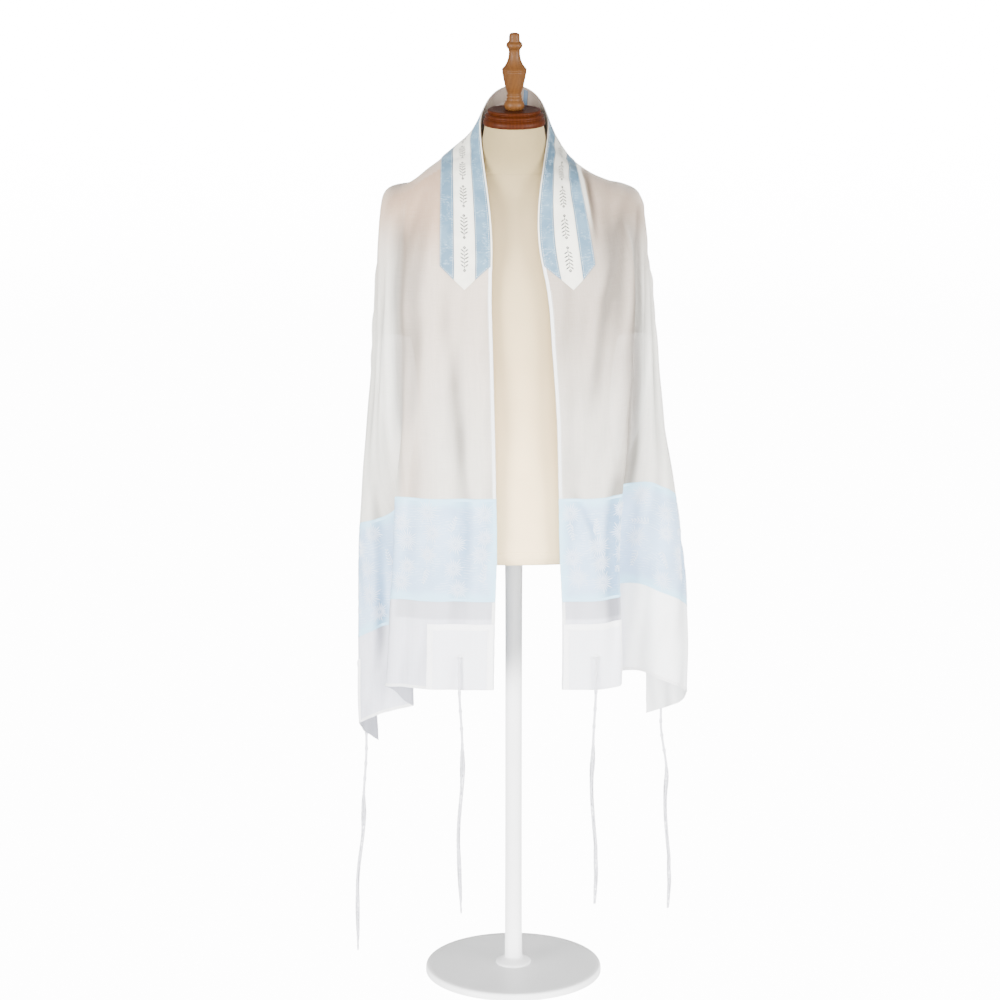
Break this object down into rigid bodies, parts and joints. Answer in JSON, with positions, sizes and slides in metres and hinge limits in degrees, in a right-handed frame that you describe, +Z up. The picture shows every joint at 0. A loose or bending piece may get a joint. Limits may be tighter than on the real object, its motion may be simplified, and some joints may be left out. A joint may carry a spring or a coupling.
{
  "type": "tallit prayer shawl on a dress form",
  "caption": "Long sheer prayer shawl with embroidered end bands, a striped neck band and corner tassels, draped open at the front over a limbless dress form on a round stand.",
  "frame": {"origin": "middle of the stand base's underside, on the floor", "axes": "+Z up, the front of the form faces -Y, +X is the viewer's right from the front"},
  "size_m": [0.5662, 0.3163, 1.583],
  "materials": {
    "sheer_cloth": "sheer white voile",
    "embroidered_band": "pale blue voile with white embroidery",
    "neck_band_blue": "pale blue jacquard",
    "neck_band_white": "white satin",
    "patch_cloth": "opaque white weave",
    "tassel_thread": "wound and knotted white thread",
    "form_linen": "cream linen cover",
    "cap_wood": "dark red-brown varnish",
    "finial_wood": "honey varnish",
    "stand_metal": "satin white paint"
  },
  "bodies": {
    "root": {"shawl_main": "sheer_cloth", "band_left": "embroidered_band", "band_right": "embroidered_band", "end_panel_left": "sheer_cloth", "end_panel_right": "sheer_cloth", "corner_patch_left_inner": "patch_cloth", "corner_patch_left_outer": "patch_cloth", "corner_patch_right_inner": "patch_cloth", "corner_patch_right_outer": "patch_cloth", "neck_band_inner": "neck_band_blue", "neck_band_centre": "neck_band_white", "neck_band_outer": "neck_band_blue", "tassel_left_inner": "tassel_thread", "tassel_left_outer": "tassel_thread", "tassel_right_inner": "tassel_thread", "tassel_right_outer": "tassel_thread", "dress_form_torso": "form_linen", "neck_cap": "cap_wood", "finial": "finial_wood", "stand_base": "stand_metal", "stand_pole": "stand_metal"}
  },
  "joints": []
}
